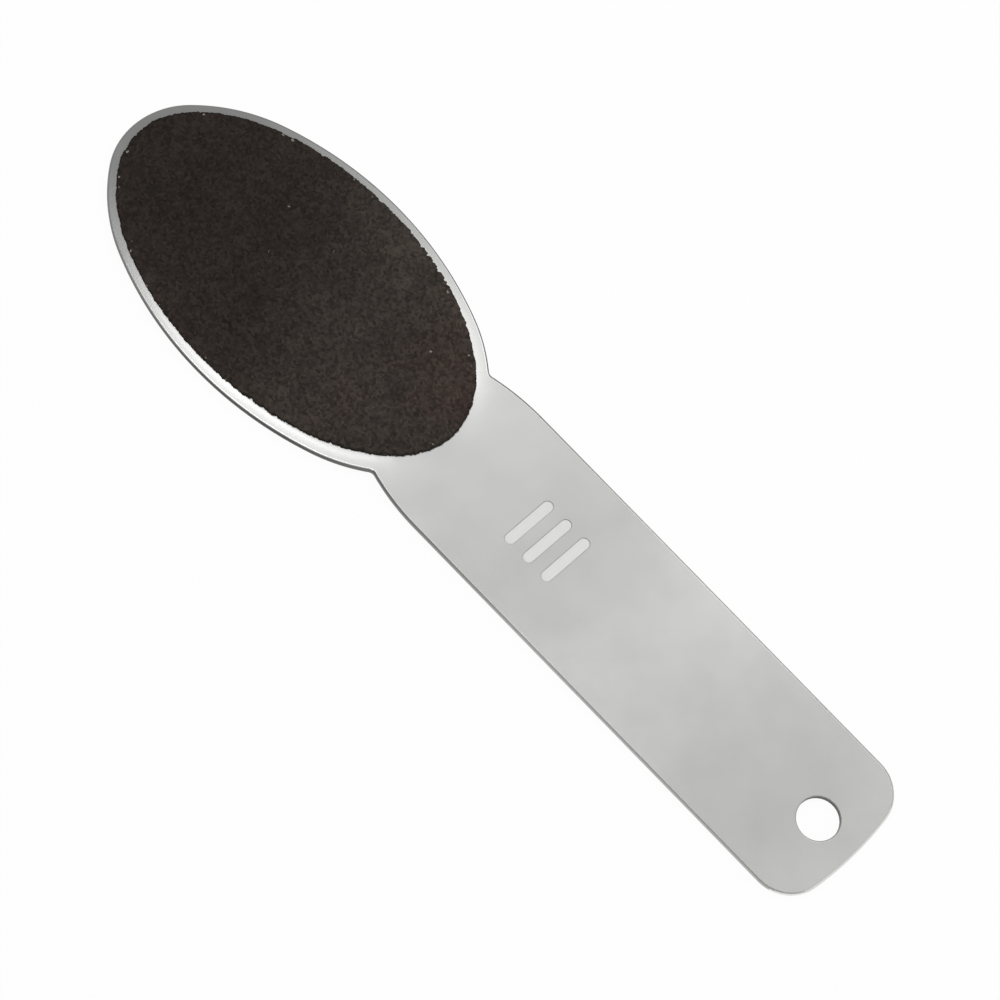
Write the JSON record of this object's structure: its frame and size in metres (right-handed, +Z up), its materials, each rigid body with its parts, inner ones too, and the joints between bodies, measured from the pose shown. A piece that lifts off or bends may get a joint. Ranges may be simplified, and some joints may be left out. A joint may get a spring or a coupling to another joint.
{
  "type": "foot file",
  "caption": "Flat steel paddle whose oval head carries a stick-on abrasive disc on each face, with a slightly tapered handle, thumb-grip bars and a hanging hole.",
  "frame": {"origin": "middle of the file's length and width, on the face of the rear abrasive disc", "axes": "+X along the file from the tip of the head to the end of the handle, +Z up through the front abrasive disc"},
  "size_m": [0.2, 0.0528, 0.0031],
  "materials": {
    "plate_steel": "satin brushed stainless steel",
    "adhesive": "pressure-sensitive adhesive film",
    "backing": "resin-filled backing paper",
    "coarse_grit": "coarse bonded grit, dark brown-black",
    "fine_grit": "fine bonded grit, dark brown-black"
  },
  "bodies": {
    "root": {"file_plate": "plate_steel", "front_adhesive_film": "adhesive", "front_backing_sheet": "backing", "front_abrasive_coat": "coarse_grit", "rear_adhesive_film": "adhesive", "rear_backing_sheet": "backing", "rear_abrasive_coat": "fine_grit"}
  },
  "joints": []
}
